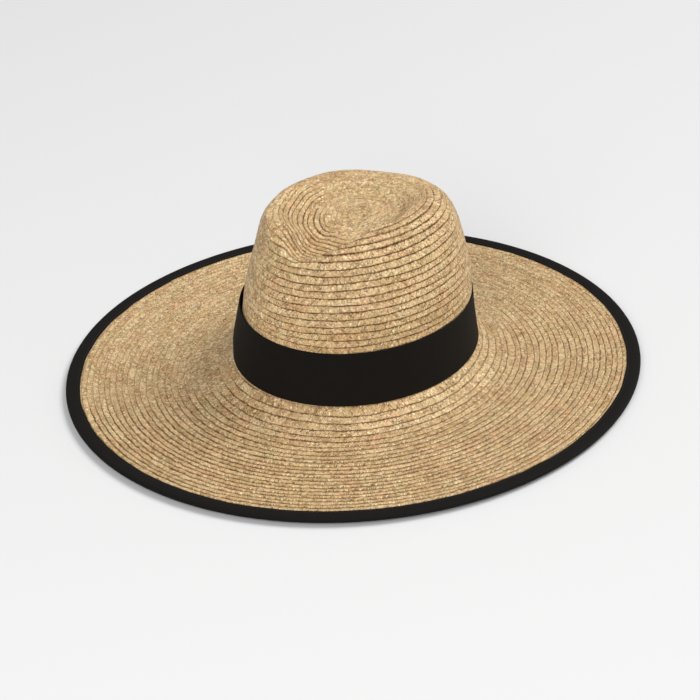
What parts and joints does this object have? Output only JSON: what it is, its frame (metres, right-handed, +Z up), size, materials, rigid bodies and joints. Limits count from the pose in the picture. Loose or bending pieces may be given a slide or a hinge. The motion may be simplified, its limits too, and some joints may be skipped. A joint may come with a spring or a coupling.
{
  "type": "wide-brim straw hat",
  "caption": "Wide-brim hat of sewn straw braid with a creased, pinched crown, a black ribbon band and a ribbon-bound brim edge.",
  "frame": {"origin": "centre of the bounding box on the surface the hat rests on", "axes": "+Z up, -Y towards the front of the hat, +X towards the wearer's left"},
  "size_m": [0.4482, 0.4766, 0.1511],
  "materials": {
    "straw_braid": "natural plaited wheat straw, satin sheen, shadow lines between rows",
    "black_ribbon": "matt black grosgrain with fine cross ribs"
  },
  "bodies": {
    "root": {"crown": "straw_braid", "brim": "straw_braid", "hat_band": "black_ribbon", "brim_binding": "black_ribbon"}
  },
  "joints": []
}
